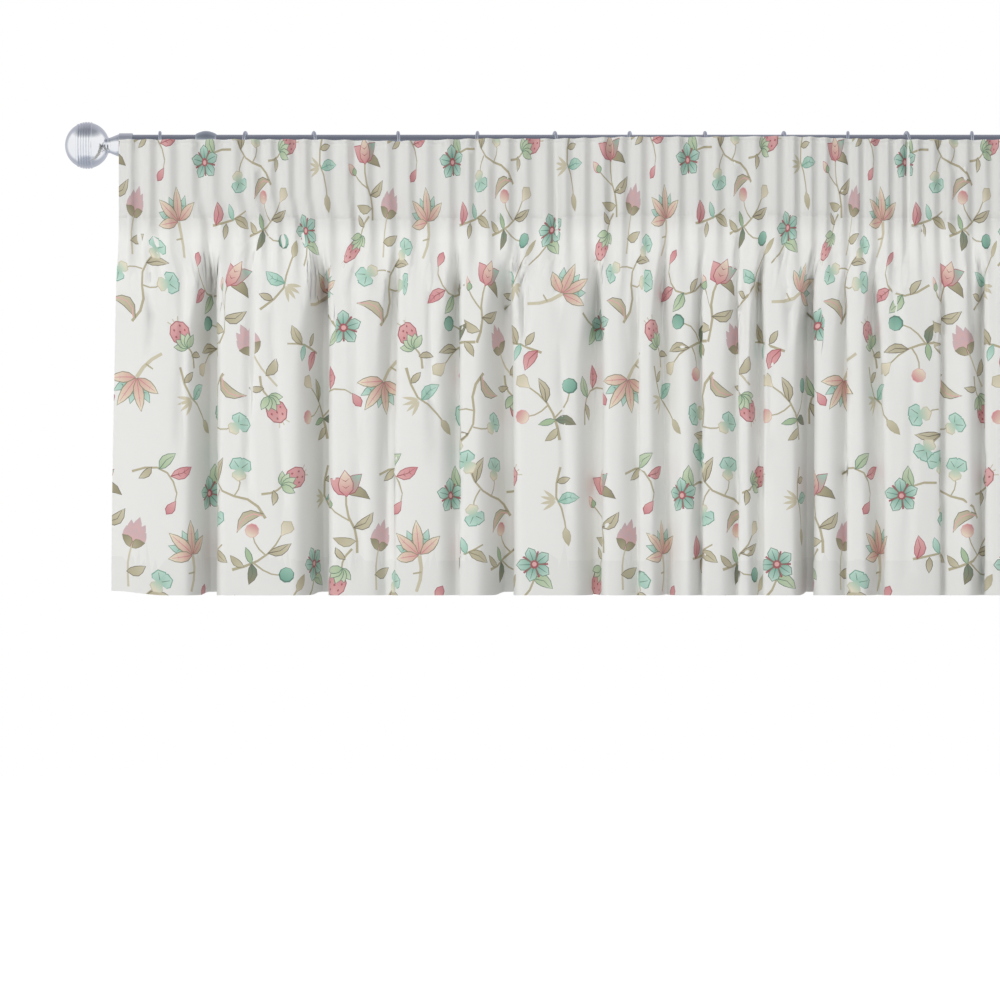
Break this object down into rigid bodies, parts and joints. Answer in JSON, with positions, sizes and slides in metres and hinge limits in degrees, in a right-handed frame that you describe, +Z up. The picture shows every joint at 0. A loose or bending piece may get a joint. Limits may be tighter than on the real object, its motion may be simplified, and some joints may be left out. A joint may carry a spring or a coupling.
{
  "type": "window valance on a curtain rod with rings",
  "caption": "Gathered floral window valance with a pencil-pleated heading and deep loose folds, hung by rings and hooks from a chrome rod with ball finials and wall brackets.",
  "frame": {"origin": "on the flat back of the left bracket's wall plate, straight behind the rod's axis, where its arm comes out", "axes": "+X along the rod to the right as seen from the room, +Y into the wall, +Z up; the room is at -Y"},
  "size_m": [1.2694, 0.1251, 0.4163],
  "materials": {
    "printed_cotton": "plain-weave cotton, off-white, printed all over with small floral sprigs in mint, coral and khaki",
    "woven_tape": "white woven gathering tape",
    "rod_chrome": "satin chrome plate",
    "finial_chrome": "polished chrome plate with turned grooves",
    "bracket_chrome": "polished chrome plate",
    "ring_wire": "chrome-plated wire",
    "hook_nylon": "white nylon"
  },
  "bodies": {
    "root": {"valance_cloth": "printed_cotton", "heading_tape": "woven_tape", "ring_01": "ring_wire", "ring_02": "ring_wire", "ring_03": "ring_wire", "ring_04": "ring_wire", "ring_05": "ring_wire", "ring_06": "ring_wire", "ring_07": "ring_wire", "ring_08": "ring_wire", "ring_09": "ring_wire", "ring_10": "ring_wire", "ring_11": "ring_wire", "ring_12": "ring_wire", "ring_13": "ring_wire", "ring_14": "ring_wire", "ring_15": "ring_wire", "ring_16": "ring_wire", "ring_17": "ring_wire", "ring_18": "ring_wire", "hook_01": "hook_nylon", "hook_02": "hook_nylon", "hook_03": "hook_nylon", "hook_04": "hook_nylon", "hook_05": "hook_nylon", "hook_06": "hook_nylon", "hook_07": "hook_nylon", "hook_08": "hook_nylon", "hook_09": "hook_nylon", "hook_10": "hook_nylon", "hook_11": "hook_nylon", "hook_12": "hook_nylon", "hook_13": "hook_nylon", "hook_14": "hook_nylon", "hook_15": "hook_nylon", "hook_16": "hook_nylon", "hook_17": "hook_nylon", "hook_18": "hook_nylon", "rod": "rod_chrome", "finial_left": "finial_chrome", "finial_right": "finial_chrome", "bracket_left": "bracket_chrome", "bracket_right": "bracket_chrome"}
  },
  "joints": []
}
